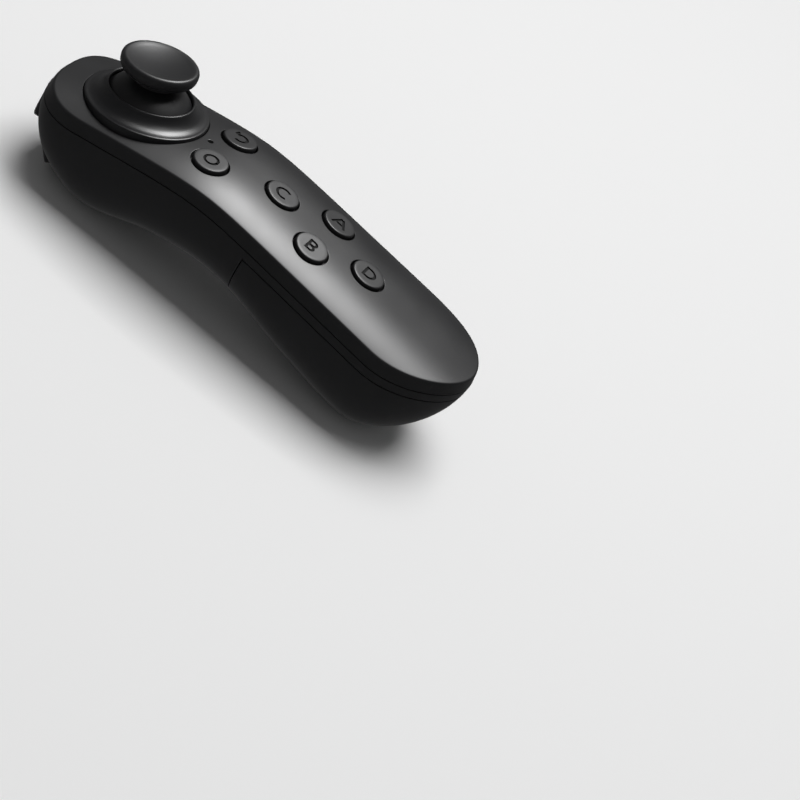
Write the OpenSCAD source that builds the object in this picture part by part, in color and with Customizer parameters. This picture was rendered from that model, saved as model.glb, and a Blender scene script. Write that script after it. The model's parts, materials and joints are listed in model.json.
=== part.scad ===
// Handheld VR motion controller: curved stick body, thumbstick, six face buttons, two triggers,
// lift-off battery door and the boards, switches, gimbal and cells inside.
// Units are millimetres. +Z is up, +Y points to the thumbstick end, +X is the controller's right side.
// The origin is on the table under the middle of the object, which rests on its two bellies.

/* [Body] */
// Height of the top face at button C
c_z = 31.1; // [28:0.1:34]
// Distance of button C ahead of the origin
c_y = 0.5; // [-2:0.1:3]
// Half width of the top face at button C
half_w = 17.2; // [14:0.1:20]
// Narrowing of the half width per millimetre towards the head
taper = 0.012; // [0:0.001:0.03]
// Drop of the top face from its centre line to its edge
crown = 2.3; // [0:0.1:4]
// Exponent of the crown, higher is flatter in the middle
crown_pow = 3; // [2:0.1:6]
// Slope of the top face in the tail half
tail_slope = 0.09; // [0:0.01:0.2]
// Slope of the top face at the head
head_slope = -0.2; // [-0.4:0.01:0]
// Position of the bend between the two slopes
bend_y = 12.3; // [5:0.1:20]
// Softness of the bend
bend_w = 4.5; // [2:0.1:9]
// Head end of the top face
head_end = 58.5; // [50:0.1:65]
// Length of the rounded head end
head_len = 14.3; // [8:0.1:20]
// Tail end of the top face
tail_end = -58.9; // [-65:0.1:-50]
// Length of the rounded tail end
tail_len = 20.9; // [10:0.1:26]
// Roundness exponent of the head end in plan
head_pow = 2.5; // [1.8:0.05:3]
// Roundness exponent of the tail end in plan
tail_pow = 1.9; // [1.8:0.05:3]
// How far the seam stands outside the face edge
band_out = 0.65; // [0:0.05:2]
// Height of the side band of the top cover
band_h = 3.2; // [2:0.1:5]
// Width of the groove along the seam
groove = 0.2; // [0:0.05:0.5]
// Wall thickness of cover, housing and door
wall = 1.6; // [1.2:0.1:2.5]
// Depth of the lower body below the seam, from tail to head
depth_knots = [17.4, 22.15, 20.5, 17.2, 19.1, 21.4, 6.9]; // [5:0.05:25]
// Length over which the tail rises to the seam
tail_rise = 19; // [10:0.1:30]
// Length over which the nose rises to the seam
head_rise = 9; // [5:0.1:15]
// Squareness of the sides of the section
side_pow = 2.8; // [2:0.1:4]
// Squareness of the floor of the section
floor_pow = 2.3; // [2:0.1:4]

/* [Battery door] */
// Distance of the door line below the seam
door_line = 2.15; // [1:0.05:4]
// Front edge of the door
door_front = -3; // [-8:0.1:2]
// Half of the gap around the door
door_gap = 0.1; // [0.05:0.01:0.3]

/* [Buttons] */
// Radius of a button hole
hole_r = 4.65; // [4:0.05:6]
// Radius of a button cap
cap_r = 4.2; // [3.5:0.05:5.5]
// Height of a cap above the face
cap_h = 0.7; // [0.4:0.1:2]
// Position of the function button pair along the body
pair_y = 17; // [14:0.1:20]
// Half spacing of the function button pair
pair_x = 7.35; // [6:0.05:9]
// Position of buttons A and B along the body
ab_y = -12.8; // [-16:0.1:-9]
// Half spacing of buttons A and B
ab_x = 7.5; // [6:0.05:9]
// Position of button D along the body
d_y = -25.9; // [-30:0.1:-20]
// Depth of the marks in the caps
mark_d = 0.3; // [0.1:0.05:0.5]
// Stroke width of the marks before they are scaled
mark_w = 0.42; // [0.3:0.02:0.8]
// Size of the marks
mark_size = 1.3; // [1:0.05:1.5]
// Position of the status light
led_y = 21.1; // [20:0.1:23]

/* [Thumbstick] */
// Position of the thumbstick along the body
stick_y = 38; // [34:0.1:42]
// Radius of the raised bezel
bezel_r = 14.8; // [12:0.1:16]
// Radius of the dome under the thumb cap
dome_r = 12.2; // [10:0.1:13]
// Depth of the gimbal pivot below the face
pivot_d = 4.5; // [3:0.1:6]
// Rim radius of the thumb cap
cap_rim_r = 9.15; // [8:0.05:11]

/* [Triggers] */
// Half width of a trigger
trig_hw = 7.3; // [5:0.1:9]
// Forward bulge of a trigger at its middle
trig_bulge = 1; // [0:0.1:2]
// Rounding of a trigger's side edges
trig_round = 1.2; // [0.5:0.1:2]
// Hinge pin radius of a trigger
trig_pin_r = 0.8; // [0.5:0.05:1.2]

/* [Output] */
// Node to build

/* [Hidden] */
stations = 44; // cross sections along a shell
across = 14; // steps across the top face
around = 16; // steps around the lower section
lip = 0.35; // width of the seam groove's outer lip
run_gap = 0.05; // radial running clearance of a pin
board_t = 1; // thickness of a circuit board
board_d = 4.6; // depth of a board's top below the face
plate_top = 6.2; // depth of the battery tray's roof below the face
plate_t = 1.3; // thickness of the tray's roof
tray_in = 0.8; // how far the tray's roof stays inside the face edge
cell_r = 5.25; // radius of an AAA cell
cell_l = 44.5; // length of an AAA cell
cell_x = 5.45; // half spacing of the two cells
cell_d = 12.95; // depth of the cells' axes below the face
bulk_y = -2.9; // front end of the bay, where the front contacts stand
bulk_gap = 1.5; // room for the leaning contacts ahead of that end
bulk_t = 1.4; // thickness of the bay's front wall
rear_y = -50; // front face of the bay's rear contacts
contact_t = 0.4; // thickness of a contact plate
spring_l = 1.9; // length of a squeezed contact spring
screw_r = 0.9; // radius of a case screw
boss_x = 9.5; // half spacing of the two middle screw bosses
boss_y = 7.5; // position of the two middle screw bosses
tail_boss_y = -54.2; // position of the tail's screw boss
boss_z = 17; // height where the cover's and housing's bosses meet
boss_r = 2.2; // radius of a cover boss
sleeve_r = 2.7; // radius of a housing boss around a screw's head
head_r = 1.8; // radius of a screw's head
upper_hinge = [54.6, 17]; // y and z of the upper trigger's hinge
lower_hinge = [50.6, 8.2]; // y and z of the lower trigger's hinge
$fn = 48;

c_shell = [0.13, 0.13, 0.14];
c_cap = [0.17, 0.17, 0.18];
c_metal = [0.75, 0.75, 0.77];
c_board = [0.06, 0.3, 0.16];
c_chip = [0.1, 0.1, 0.1];

// ---- Surface of the body ----
function soft(u) = u > 30 ? u : ln(1 + exp(u));
function rise(y) = tail_slope * y + (head_slope - tail_slope) * bend_w * soft((y - bend_y) / bend_w);
function top_z(y) = c_z + rise(y) - rise(c_y);
function slope(y) = tail_slope + (head_slope - tail_slope) / (1 + exp(-(y - bend_y) / bend_w));
function crown_drop(x) = crown * pow(abs(x) / half_w, crown_pow);
function clip01(t) = min(1, max(0, t));
function head_t(y, off) = clip01((y - head_end + head_len) / (head_len + off));
function tail_t(y, off) = clip01((tail_end + tail_len - y) / (tail_len + off));
function plan_end(t, e) = pow(max(0, 1 - pow(t, e)), 1 / e);
// Half width of the outline that stands off outside the face edge
function plan_w(y, off) = (half_w - taper * (y - c_y) + off)
  * plan_end(head_t(y, off), head_pow) * plan_end(tail_t(y, off), tail_pow);
// Station i along an outline, closer together at both ends
function y_at(i, off) = (tail_end + head_end) / 2 - ((head_end - tail_end) / 2 + off) * cos(180 * i / stations);
function seam_z(y) = top_z(y) - crown_drop(plan_w(y, band_out)) - band_h;
function knot(k) = k < 0 ? 2 * depth_knots[0] - depth_knots[1]
  : k > 6 ? 2 * depth_knots[6] - depth_knots[5] : depth_knots[k];
function spline(a, b, c, d, t) = (2 * b + (c - a) * t + (2 * a - 5 * b + 4 * c - d) * t * t
  + (3 * b - a - 3 * c + d) * t * t * t) / 2;
function knot_at(s) = let(k = min(5, floor(s))) spline(knot(k - 1), knot(k), knot(k + 1), knot(k + 2), s - k);
function raw_depth(y) = knot_at(6 * clip01((y - tail_end + band_out) / (head_end - tail_end + 2 * band_out)))
  + crown - crown_drop(plan_w(y, band_out));
// Depth of the lower body below the seam, for a surface moved inwards by inset
function body_depth(y, inset) = (raw_depth(y) - inset)
  * sqrt(1 - pow(clip01((y - head_end - band_out + head_rise) / (head_rise - inset)), 2))
  * sqrt(1 - pow(clip01((tail_end - band_out + tail_rise - y) / (tail_rise - inset)), 2));
function signed_pow(v, e) = sign(v) * pow(abs(v), e);

// ---- Points of the shells ----
// Point on an outline ring of the top cover
function ring_pt(i, off, drop, side) = let(y = y_at(i, off), x = plan_w(y, off))
  [side * x, y, top_z(y) - crown_drop(x) - drop];
function face_pt(i, off, drop, k) = let(y = y_at(i, off), x = plan_w(y, off) * cos(180 * k / across))
  [x, y, top_z(y) - crown_drop(x) - drop];
// Point on the lower section, phi runs from the right seam under the body to the left seam
function belly_pt(i, inset, phi) = let(off = band_out - inset, y = y_at(i, off))
  [plan_w(y, off) * signed_pow(cos(phi), 2 / side_pow), y,
    seam_z(y) - groove - body_depth(y, inset) * pow(sin(phi), 2 / floor_pow)];
function cover_outer(i) = concat(
  [ring_pt(i, band_out - lip, band_h, 1), ring_pt(i, band_out, band_h - groove, 1), ring_pt(i, 0.12, 0.4, 1)],
  [for (k = [0 : across]) face_pt(i, -0.3, 0, k)],
  [ring_pt(i, 0.12, 0.4, -1), ring_pt(i, band_out, band_h - groove, -1), ring_pt(i, band_out - lip, band_h, -1)]);
function cover_inner(i) = concat(
  [ring_pt(i, band_out - wall, band_h, 1)],
  [for (k = [0 : across]) face_pt(i, -wall, wall, k)],
  [ring_pt(i, band_out - wall, band_h, -1)]);
function belly_outer(i) = concat(
  [ring_pt(i, band_out - lip, band_h, 1)],
  [for (k = [0 : around]) belly_pt(i, 0, 180 * k / around)],
  [ring_pt(i, band_out - lip, band_h, -1)]);
function belly_inner(i) = concat(
  [ring_pt(i, band_out - wall, band_h, 1)],
  [for (k = [0 : around]) belly_pt(i, wall, 180 * k / around)],
  [ring_pt(i, band_out - wall, band_h, -1)]);

// ---- Skinning ----
function flip(list) = [for (k = [len(list) - 1 : -1 : 0]) list[k]];
// First point of a loop that lies where point j lies, so that collapsed ends share one point
function same(loop, j, k = 0) = norm(loop[k] - loop[j]) < 0.001 ? k : same(loop, j, k + 1);
function is_end(loops, i) = i == 0 || i == len(loops) - 1;
function index(loops, i, j) = i * len(loops[0]) + (is_end(loops, i) ? same(loops[i], j) : j);
function tidy(f) = [for (k = [0 : len(f) - 1]) if (f[k] != f[(k + 1) % len(f)]) f[k]];

// Closed skin over loops whose first and last ones are collapsed to a line
module skin(loops) {
  n = len(loops[0]);
  quads = [for (i = [0 : len(loops) - 2], j = [0 : n - 1]) let(q = (j + 1) % n)
    tidy([index(loops, i, j), index(loops, i, q), index(loops, i + 1, q), index(loops, i + 1, j)])];
  polyhedron([for (l = loops, p = l) p], [for (f = quads) if (len(f) > 2) f], convexity = 6);
}

module cover_skin() skin([for (i = [0 : stations]) concat(cover_outer(i), flip(cover_inner(i)))]);
// The lower body is cut level with the table, which leaves a small flat under each belly
module belly_skin() difference() {
  skin([for (i = [0 : stations]) concat(flip(belly_outer(i)), belly_inner(i))]);
  block(-40, 40, -70, 70, -5, 0);
}

// ---- Local frames ----
module tail_frame() translate([0, c_y, c_z]) rotate([atan(tail_slope), 0, 0]) children();
module face_frame(x, y) translate([x, y, top_z(y) - crown_drop(x)]) rotate([atan(slope(y)), 0, 0])
  rotate([0, sign(x) * atan(crown_pow * crown_drop(x) / max(1, abs(x))), 0]) children();
module stick_frame() face_frame(0, stick_y) children();
module pivot_frame() stick_frame() translate([0, 0, -pivot_d]) children();
module pair_frame() face_frame(0, pair_y) children();
module trigger_board_frame() translate([0, 47.3, 11.8]) rotate([-115, 0, 0]) children();

module rod(r, z0, z1) translate([0, 0, z0]) cylinder(r = r, h = z1 - z0);
module block(x0, x1, y0, y1, z0, z1) translate([x0, y0, z0]) cube([x1 - x0, y1 - y0, z1 - z0]);
// Shape drawn in y and z, spread over the width
module across_x(w) rotate([90, 0, 90]) translate([0, 0, -w / 2]) linear_extrude(w) children();

// ---- Shell pieces ----
module door_region(grow) across_x(50) polygon(concat(
  [for (y = [-62 : 2 : -4]) [y, seam_z(y) - groove - door_line + grow]],
  [[door_front + grow, seam_z(door_front) - groove - door_line + grow], [door_front + grow, -5], [-62, -5]]));

module cover_boss() {
  for (s = [-1, 1]) translate([s * boss_x, boss_y, 0]) rod(boss_r, boss_z, 30.2);
  translate([0, tail_boss_y, 0]) rod(boss_r, 20.3, 25.3);
}

module cover_holes() {
  for (s = [-1, 1]) {
    face_frame(s * pair_x, pair_y) rod(hole_r, -4, 3);
    face_frame(s * ab_x, ab_y) rod(hole_r, -4, 3);
  }
  face_frame(0, c_y) rod(hole_r, -4, 3);
  face_frame(0, d_y) rod(hole_r, -4, 3);
  face_frame(0, led_y) rod(0.65, -4, 3);
  stick_frame() rod(bezel_r + 0.15, -3.8, 4);
  for (s = [-1, 1]) translate([s * boss_x, boss_y, 0]) rod(screw_r + 0.02, boss_z - 1, 26.2);
  translate([0, tail_boss_y, 0]) rod(screw_r + 0.02, 19, 24.2);
}

module top_cover() color(c_shell) difference() {
  union() {
    cover_skin();
    cover_boss();
  }
  cover_holes();
}

function tray_outline() = let(ys = [-57.5, -56, -54, -51, -47, -42, -36, -20, bulk_y])
  concat([for (y = ys) [plan_w(y, -tray_in), y]], flip([for (y = ys) [-plan_w(y, -tray_in), y]]));
// Closed cross section of the lower body at one station, a little inside its skin
function wall_outline(y) = [for (k = [0 : 24]) let(phi = 7.5 * k, w = plan_w(y, band_out - 0.8))
  [w * signed_pow(cos(phi), 2 / side_pow),
    seam_z(y) - 1 - (body_depth(y, 0.8) - 1) * pow(sin(phi), 2 / floor_pow)]];

module battery_tray() {
  intersection() {
    tail_frame() translate([0, 0, -plate_top - plate_t]) linear_extrude(plate_t)
      polygon([for (p = tray_outline()) [p[0], p[1] - c_y]]);
    block(-30, 30, -70, bulk_y + bulk_gap + 0.5, 0, 40);
  }
  translate([0, bulk_y + bulk_gap + bulk_t, 0]) rotate([90, 0, 0]) linear_extrude(bulk_t)
    polygon(wall_outline(bulk_y));
  tail_frame() {
    block(-10, 10, -52.2, -51, -13.6, -plate_top - 0.5);
    for (s = [-1, 1]) scale([s, 1, 1]) block(11, 12, -51.5, -4, -11.5, -plate_top - 0.5);
  }
}

module trigger_slots() {
  block(-trig_hw - 0.35, trig_hw + 0.35, 50, 62, 10.3, 18.45);
  across_x(2 * trig_hw + 0.7) polygon([[49.1, -0.9], [44.3, 7.8], [44.3, 8.9], [62, 8.9], [62, -0.9]]);
}

module hinge_ears() for (s = [-1, 1]) scale([s, 1, 1]) {
  block(trig_hw + 0.4, trig_hw + 2, 52.8, 56, 15.6, 18.6);
  block(trig_hw + 0.4, trig_hw + 2, 48.8, 51.8, 7.6, 9.8);
}

module hinge_at(h) translate([0, h[0], h[1]]) rotate([0, 90, 0]) children();

module bottom_housing() color(c_shell) difference() {
  union() {
    difference() {
      belly_skin();
      door_region(door_gap);
      trigger_slots();
    }
    battery_tray();
    hinge_ears();
    for (s = [-1, 1]) translate([s * boss_x, boss_y, 0]) rod(sleeve_r, 10.8, boss_z);
  }
  for (h = [upper_hinge, lower_hinge]) hinge_at(h) rod(trig_pin_r + 0.01, -9, 9);
  for (s = [-1, 1]) translate([s * boss_x, boss_y, 0]) {
    rod(screw_r + 0.15, 0, 20);
    rod(head_r + 0.15, 0, 13);
  }
  translate([0, tail_boss_y, 0]) rod(screw_r + 0.15, 10, 30);
}

module battery_door() color(c_shell) intersection() {
  belly_skin();
  door_region(-door_gap);
}

module joystick_bezel() color(c_cap) stick_frame() rotate_extrude($fn = 72) polygon(concat(
  [[9.9, 3.35], [9.97, 3.68], [10.2, 3.83], [10.5, 3.72], [10.7, 3.35], [10.88, 2.9], [11.2, 2.35],
    [11.7, 1.78], [12.4, 1.22], [13.2, 0.82], [13.9, 0.64], [14.45, 0.6], [bezel_r - 0.08, 0.48],
    [bezel_r, 0.25], [bezel_r, -3.4], [15.3, -3.4], [15.3, -4.2], [12.8, -4.2], [12.8, -3]],
  [for (a = [83 : -5.2 : 52]) [(dome_r + 0.35) * sin(a), (dome_r + 0.35) * cos(a) - pivot_d]]));

// ---- Thumbstick ----
module thumbstick_cap() color(c_cap) stick_frame() difference() {
  union() {
    rotate_extrude($fn = 72) polygon(concat(
      [[0, 10.9], [3, 11], [5.5, 11.35], [7.3, 11.85], [8.2, 12.05], [8.75, 11.9], [9.05, 11.4],
        [cap_rim_r, 10.7], [8.9, 10], [8.2, 9.3], [7, 8.75], [5.6, 8.3], [4.85, 7.8], [4.7, 7.2]],
      [for (a = [25 : 6 : 73]) [dome_r * sin(a), dome_r * cos(a) - pivot_d]],
      [for (a = [73 : -6 : 13]) [(dome_r - 1.4) * sin(a), (dome_r - 1.4) * cos(a) - pivot_d]],
      [[0, dome_r - 1.4 - pivot_d]]));
    rod(3, 2, 8);
  }
  rod(1.6, 1, 9);
}

module stick_post() color(c_metal) pivot_frame() {
  rod(1.58, 0.5, 13.2);
  rotate([90, 0, 0]) rod(1.9, -2.2, 2.2);
  rotate([90, 0, 0]) rod(0.8, -3.7, 3.7);
}

module gimbal_yoke() color(c_metal) pivot_frame() difference() {
  union() {
    difference() {
      block(-4.2, 4.2, -3.8, 3.8, -1.3, 1.3);
      block(-3, 3, -2.35, 2.35, -2, 2);
    }
    for (s = [-1, 1]) rotate([0, 90 * s, 0]) rod(1, 3.6, 5.9);
  }
  rotate([90, 0, 0]) rod(0.8 + run_gap, -5, 5);
}

module stick_module_housing() color(c_chip) pivot_frame() difference() {
  block(-6.2, 6.2, -6.2, 6.2, -6, 3.4);
  block(-5.2, 5.2, -5.2, 5.2, -5.2, 2.6);
  rod(4.6, 0, 4);
  rotate([0, 90, 0]) rod(1 + run_gap, -7, 7);
}

module x_potentiometer() color([0.1, 0.35, 0.25]) pivot_frame() block(6.2, 8.4, -3.4, 3.4, -5.2, 2.2);
module y_potentiometer() color([0.1, 0.35, 0.25]) pivot_frame() block(-3.4, 3.4, 6.2, 8.4, -5.2, 2.2);
module stick_board() color(c_board) pivot_frame() block(-9, 9, -10, 8.4, -6 - board_t, -6);

// ---- Boards and switches ----
module main_board() color(c_board) difference() {
  tail_frame() block(-12.5, 12.5, -46, 8.4, -board_d - board_t, -board_d);
  for (s = [-1, 1]) translate([s * boss_x, boss_y, 0]) rod(boss_r + 0.4, 20, 32);
}

module function_board() color(c_board) pair_frame() block(-11.5, 11.5, -4.2, 7, -board_d - board_t, -board_d);

module radio_module() color(c_metal) tail_frame() block(-6, 6, -45, -33.5, -board_d, -board_d + 1.8);

module function_flex() color([0.55, 0.3, 0.08]) across_x(8) polygon([
  [6.5, 25.95], [9.2, 26], [10.5, 25.4], [12.4, 25.8], [14.5, 25.54], [14.5, 25.34], [12.4, 25.55],
  [10.5, 25.1], [9.2, 25.7], [6.5, 25.7]]);

module head_flex() color([0.55, 0.3, 0.08]) across_x(6) polygon([
  [20, 24.3], [22, 24], [23.9, 19], [25.2, 17.6], [28, 17.3], [31, 16.7], [31, 16.5], [28, 17.1],
  [25, 17.35], [23.6, 18.9], [21.8, 23.8], [20, 24.1]]);

module switch_body() difference() {
  block(-2.2, 2.2, -2.2, 2.2, 0, 1.2);
  rod(1.05, 0.1, 2);
}

module on_main(x, y) tail_frame() translate([x, y - c_y, -board_d]) children();
module on_function(x) pair_frame() translate([x, 0, -board_d]) children();

module face_switches() color(c_chip) {
  on_main(0, c_y) switch_body();
  on_main(0, d_y) switch_body();
  for (s = [-1, 1]) {
    on_main(s * ab_x, ab_y) switch_body();
    on_function(s * pair_x) switch_body();
  }
}

module plunger() color([0.85, 0.85, 0.8]) rod(0.9, 0.55, 1.55);
module plunger_a() on_main(ab_x, ab_y) plunger();
module plunger_b() on_main(-ab_x, ab_y) plunger();
module plunger_c() on_main(0, c_y) plunger();
module plunger_d() on_main(0, d_y) plunger();
module ring_plunger() on_function(-pair_x) plunger();
module return_plunger() on_function(pair_x) plunger();

module status_led() color([0.9, 0.95, 0.9]) face_frame(0, led_y) block(-0.8, 0.8, -0.5, 0.5, -4.3, -3.6);
module light_pipe() color([0.8, 0.85, 0.9]) face_frame(0, led_y) {
  rod(0.6, -3, -0.1);
  rod(1.1, -3.5, -2.4);
}

// ---- Button caps ----
module bar(x, y, l, a) translate([x, y]) rotate(a) square([l, mark_w], center = true);
module arc_mark(r, from, to) difference() {
  circle(r = r);
  circle(r = r - mark_w);
  polygon(concat([[0, 0]], [for (a = [to : 10 : from + 360]) [9 * cos(a), 9 * sin(a)]]));
}
// Letters are drawn upright, then turned so that they read from the controller's left side
module mark_a() {
  bar(-0.72, 0, 3.1, 66);
  bar(0.72, 0, 3.1, -66);
  bar(0, -0.5, 1.5, 0);
}
module half_loop(y, r) translate([-0.1, y]) {
  intersection() {
    difference() {
      circle(r = r);
      circle(r = r - mark_w);
    }
    translate([0, -3]) square([3, 6]);
  }
  for (s = [-1, 1]) bar(-0.45, s * (r - mark_w / 2), 0.95, 0);
}
module mark_b() {
  bar(-0.9, 0, 3, 90);
  half_loop(0.65, 0.85);
  half_loop(-0.65, 0.85);
}
module mark_c() arc_mark(1.6, 50, 310);
module mark_d() {
  bar(-0.9, 0, 3, 90);
  half_loop(0, 1.5);
}
module mark_ring() difference() {
  circle(r = 1.5);
  circle(r = 1.5 - mark_w);
}
module mark_return() {
  arc_mark(1.5, -120, 130);
  bar(-1.25, 1.35, 1.1, 75);
  bar(-0.95, 0.85, 1.1, -15);
}

module button() difference() {
  union() {
    rotate_extrude() polygon([[0, -2.6], [5.15, -2.6], [5.15, -2], [cap_r, -2], [cap_r, cap_h - 0.4],
      [cap_r - 0.1, cap_h - 0.16], [cap_r - 0.4, cap_h], [0, cap_h]]);
    rod(1.2, -2.75, -2);
  }
  translate([0, 0, cap_h - mark_d]) rotate(-90) linear_extrude(1) scale(mark_size) children();
}

module button_a() color(c_cap) face_frame(ab_x, ab_y) button() mark_a();
module button_b() color(c_cap) face_frame(-ab_x, ab_y) button() mark_b();
module button_c() color(c_cap) face_frame(0, c_y) button() mark_c();
module button_d() color(c_cap) face_frame(0, d_y) button() mark_d();
module ring_button() color(c_cap) face_frame(-pair_x, pair_y) button() mark_ring();
module return_button() color(c_cap) face_frame(pair_x, pair_y) button() mark_return();

// ---- Triggers ----
function edge_in(x) = let(d = max(0, abs(x) - trig_hw + trig_round))
  trig_round - sqrt(max(0, trig_round * trig_round - d * d));
function bulge(x) = trig_bulge * (1 - pow(x / trig_hw, 2)) - 0.8 * edge_in(x);
// Front edge of a trigger seen from above, with room behind it for the whole trigger
module trigger_plan() polygon(concat(
  [for (k = [0 : 28]) let(x = -trig_hw * cos(180 * k / 28)) [x, bulge(x)]],
  [[trig_hw, -15], [-trig_hw, -15]]));

module trigger_body(side, front, lean) intersection() {
  across_x(2 * trig_hw) polygon(side);
  translate([0, front[0], front[1]]) rotate([-lean, 0, 0]) translate([0, 0, -10]) linear_extrude(30) trigger_plan();
}

module upper_trigger() color(c_cap) difference() {
  trigger_body([[58.5, 18.1], [59.2, 17.3], [59.45, 16], [59.35, 14], [58.5, 10.9], [58, 10.5], [55.2, 10.9],
    [51.6, 11.1], [51.6, 13.6], [52.9, 15.4], [52.9, 18.1]], [58.45, 14], 0);
  hinge_at(upper_hinge) rod(trig_pin_r + run_gap, -9, 9);
}

module lower_trigger() color(c_cap) difference() {
  trigger_body([[54.8, 8.55], [55, 7], [54.6, 5.7], [51.6, 1.7], [50.9, 1.2], [48.3, 2.9], [46.6, 5.6],
    [48.3, 8.5], [50, 10], [51.2, 10], [52, 8.55]], [50.6, 1.7], 36.87);
  hinge_at(lower_hinge) rod(trig_pin_r + run_gap, -9, 9);
}

module upper_trigger_pin() color(c_metal) hinge_at(upper_hinge) rod(trig_pin_r, -8.9, 8.9);
module lower_trigger_pin() color(c_metal) hinge_at(lower_hinge) rod(trig_pin_r, -8.9, 8.9);
module trigger_board() color(c_board) trigger_board_frame() block(-7, 7, -6.2, 5.8, -board_t, 0);
module trigger_switches() color(c_chip) trigger_board_frame() {
  translate([0, -2.2, 0]) {
    block(-2, 2, -1.8, 1.8, 0, 1.6);
    rod(0.8, 1.5, 2.9);
  }
  translate([0, 4, 0]) {
    block(-2, 2, -1.7, 1.7, 0, 1);
    rod(0.8, 0.9, 1.6);
  }
}

// ---- Battery ----
// Cylinder along the cells' direction, from y0 back to y1
module along_cell(x, r, y0, y1) tail_frame() translate([x, y0 - c_y, -cell_d]) rotate([90, 0, 0])
  rod(r, 0, y0 - y1);
module cell(x, y_plus, turn) {
  back = turn ? y_plus + cell_l : y_plus - cell_l;
  s = turn ? 1 : -1;
  along_cell(x, 1.9, max(y_plus, y_plus + s * 1.2), min(y_plus, y_plus + s * 1.2));
  along_cell(x, cell_r, max(back, y_plus + s * 1), min(back, y_plus + s * 1));
}
module battery_cell_left() color([0.75, 0.6, 0.2]) cell(-cell_x, bulk_y - contact_t - 0.2, false);
module battery_cell_right() color([0.75, 0.6, 0.2])
  cell(cell_x, bulk_y - contact_t - 0.2 - spring_l - cell_l, true);

module contact_plate(x, y) tail_frame()
  block(x - 4, x + 4, y - c_y - contact_t, y - c_y, -cell_d - 3.5, -cell_d + 4);
// Conical spring between a contact and a cell's flat end, growing along dir
module coil(x, y, dir) tail_frame() for (k = [0 : 3])
  translate([x, y - c_y + dir * (0.25 + 0.45 * k), -cell_d]) rotate([90, 0, 0])
    rotate_extrude($fn = 32) translate([3.4 - 0.35 * k, 0]) circle(r = 0.3, $fn = 16);

module front_contact_plate() color(c_metal) contact_plate(-cell_x, bulk_y - 0.1);
module front_contact_spring() color(c_metal) {
  contact_plate(cell_x, bulk_y - 0.1);
  coil(cell_x, bulk_y - 0.1 - contact_t, -1);
}
module rear_contact_plate() color(c_metal) contact_plate(cell_x, rear_y);
module rear_contact_spring() color(c_metal) {
  contact_plate(-cell_x, rear_y);
  coil(-cell_x, rear_y, 1);
}

module case_screws() color(c_metal) {
  for (s = [-1, 1]) translate([s * boss_x, boss_y, 0]) {
    rod(screw_r, 12, 26);
    rod(head_r, 11.6, 13);
  }
  translate([0, tail_boss_y, 0]) {
    rod(screw_r, 17.4, 24);
    rod(head_r, 17, 18.4);
  }
}

// ---- Output ----
top_cover();
bottom_housing();
battery_door();
joystick_bezel();
thumbstick_cap();
stick_post();
gimbal_yoke();
stick_module_housing();
x_potentiometer();
y_potentiometer();
stick_board();
function_board();
main_board();
radio_module();
function_flex();
head_flex();
face_switches();
status_led();
light_pipe();
button_a();
button_b();
button_c();
button_d();
ring_button();
return_button();
plunger_a();
plunger_b();
plunger_c();
plunger_d();
ring_plunger();
return_plunger();
upper_trigger();
lower_trigger();
upper_trigger_pin();
lower_trigger_pin();
trigger_board();
trigger_switches();
battery_cell_left();
battery_cell_right();
front_contact_plate();
front_contact_spring();
rear_contact_plate();
rear_contact_spring();
case_screws();
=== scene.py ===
"""Looks of the handheld VR motion controller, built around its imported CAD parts.

Lengths are written in millimetres, as in the CAD source, and turned into metres when a mesh is made.
"""

import json
import math

import bmesh
import bpy
import numpy as np
from mathutils import Matrix, Vector
from mathutils.bvhtree import BVHTree


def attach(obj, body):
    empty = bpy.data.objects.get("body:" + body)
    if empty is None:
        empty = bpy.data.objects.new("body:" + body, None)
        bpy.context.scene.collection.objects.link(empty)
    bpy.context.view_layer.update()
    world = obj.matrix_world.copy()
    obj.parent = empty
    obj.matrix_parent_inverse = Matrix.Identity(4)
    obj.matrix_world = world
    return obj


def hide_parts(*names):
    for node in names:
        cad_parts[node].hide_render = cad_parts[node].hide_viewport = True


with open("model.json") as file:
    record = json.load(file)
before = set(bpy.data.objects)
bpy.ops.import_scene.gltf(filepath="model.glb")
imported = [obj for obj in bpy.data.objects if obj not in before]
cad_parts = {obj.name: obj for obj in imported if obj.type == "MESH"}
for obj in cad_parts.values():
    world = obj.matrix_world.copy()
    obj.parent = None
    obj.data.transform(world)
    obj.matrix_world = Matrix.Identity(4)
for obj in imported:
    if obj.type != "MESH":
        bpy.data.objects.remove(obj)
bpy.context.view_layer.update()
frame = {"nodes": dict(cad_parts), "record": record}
MM = 0.001

# ---- Body numbers, the same as in the CAD source ----
C_Z = 31.1
C_Y = 0.5
HALF_W = 17.2
TAPER = 0.012
CROWN = 2.3
CROWN_POW = 3
TAIL_SLOPE = 0.09
HEAD_SLOPE = -0.2
BEND_Y = 12.3
BEND_W = 4.5
HEAD_END = 58.5
HEAD_LEN = 14.3
TAIL_END = -58.9
TAIL_LEN = 20.9
HEAD_POW = 2.5
TAIL_POW = 1.9
BAND_OUT = 0.65
BAND_H = 3.2
GROOVE = 0.2
DEPTH_KNOTS = np.array([17.4, 22.15, 20.5, 17.2, 19.1, 21.4, 6.9])
TAIL_RISE = 19
HEAD_RISE = 9
SIDE_POW = 2.8
FLOOR_POW = 2.3
DOOR_LINE = 2.15
DOOR_FRONT = -3
DOOR_GAP = 0.1
HOLE_R = 4.65
CAP_R = 4.2
CAP_H = 0.7
PAIR_Y = 17
PAIR_X = 7.35
AB_Y = -12.8
AB_X = 7.5
D_Y = -25.9
LED_Y = 21.1
LED_R = 0.65
MARK_D = 0.3
MARK_SIZE = 1.3
STICK_Y = 38
BEZEL_R = 14.8
DOME_R = 12.2
PIVOT_D = 4.5
TRIG_HW = 7.3
TRIG_BULGE = 1
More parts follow.
